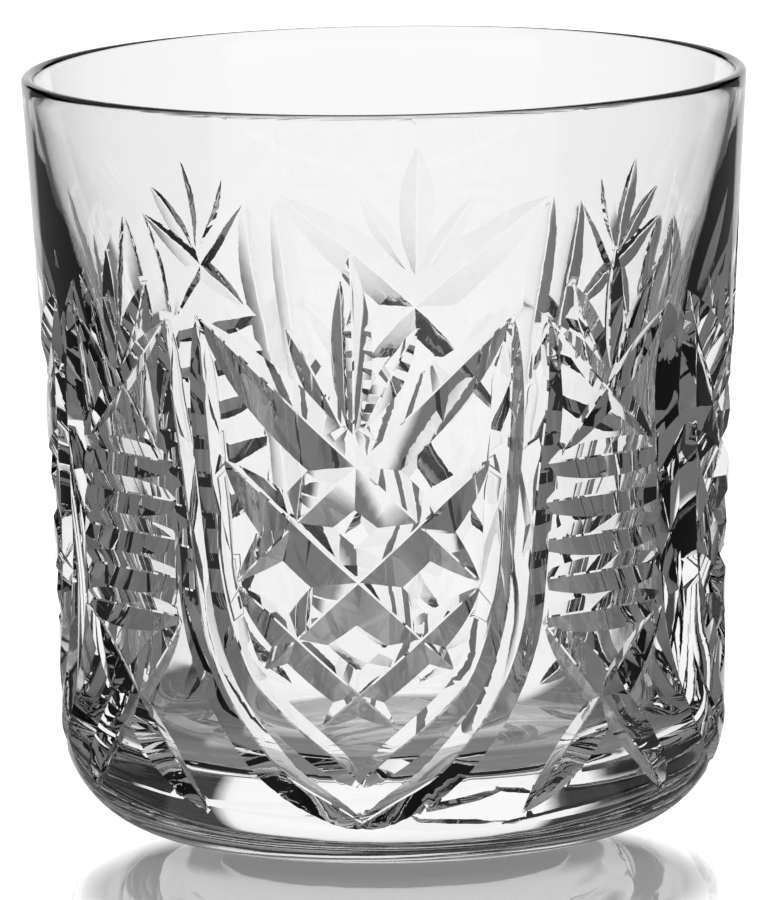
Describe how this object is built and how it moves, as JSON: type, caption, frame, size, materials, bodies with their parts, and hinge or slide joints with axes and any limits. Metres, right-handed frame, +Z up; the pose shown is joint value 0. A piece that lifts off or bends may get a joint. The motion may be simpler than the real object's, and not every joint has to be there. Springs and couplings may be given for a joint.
{
  "type": "lowball glass",
  "caption": "Clear cut-crystal lowball tumbler: flared round wall with shields of crossed mitres, stepped columns and fan cuts, plain rim, thick solid base and large heel round, open on top.",
  "frame": {"origin": "middle of the foot, on the table", "axes": "+Z up along the glass's axis, a shield's middle faces -Y, +X to its right"},
  "size_m": [0.0842, 0.0842, 0.0884],
  "materials": {
    "crystal": "clear polished lead crystal with bright polished cuts"
  },
  "bodies": {
    "root": {"tumbler": "crystal"}
  },
  "joints": []
}
